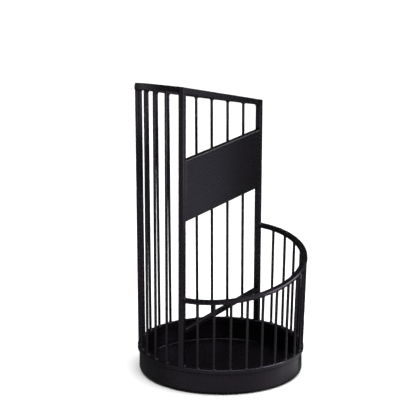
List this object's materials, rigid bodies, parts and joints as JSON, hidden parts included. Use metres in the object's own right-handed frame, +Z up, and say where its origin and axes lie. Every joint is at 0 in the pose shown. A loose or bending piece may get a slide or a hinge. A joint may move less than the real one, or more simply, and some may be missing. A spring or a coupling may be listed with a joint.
{
  "type": "umbrella stand",
  "caption": "Round black wire umbrella stand on a water pan, parted by a framed panel into a tall cage for long umbrellas and a low cage for folded ones, with sloping tops.",
  "frame": {"origin": "centre of the base, on the floor", "axes": "+Z up; +X along the partition from the front post, where the top is highest, to the rear post; +Y towards the tall cage, so the low cage is on the -Y side"},
  "size_m": [0.2974, 0.3039, 0.5342],
  "materials": {
    "coat": "satin black powder coat on steel",
    "pad": "matt black rubber"
  },
  "bodies": {
    "root": {"base_pan": "coat", "bottom_ring": "coat", "foot_pads": "pad", "front_post": "coat", "low_ring": "coat", "low_rod_01": "coat", "low_rod_02": "coat", "low_rod_03": "coat", "low_rod_04": "coat", "low_rod_05": "coat", "low_rod_06": "coat", "low_rod_07": "coat", "low_rod_08": "coat", "low_rod_09": "coat", "low_rod_10": "coat", "low_rod_11": "coat", "low_rod_12": "coat", "low_rod_13": "coat", "low_rod_14": "coat", "low_rod_15": "coat", "lower_rail": "coat", "panel": "coat", "rear_post": "coat", "tall_rod_01": "coat", "tall_rod_02": "coat", "tall_rod_03": "coat", "tall_rod_04": "coat", "tall_rod_05": "coat", "tall_rod_06": "coat", "tall_rod_07": "coat", "tall_rod_08": "coat", "tall_rod_09": "coat", "tall_rod_10": "coat", "tall_rod_11": "coat", "tall_rod_12": "coat", "tall_rod_13": "coat", "tall_rod_14": "coat", "tall_rod_15": "coat", "top_arc": "coat", "top_rail": "coat"}
  },
  "joints": []
}
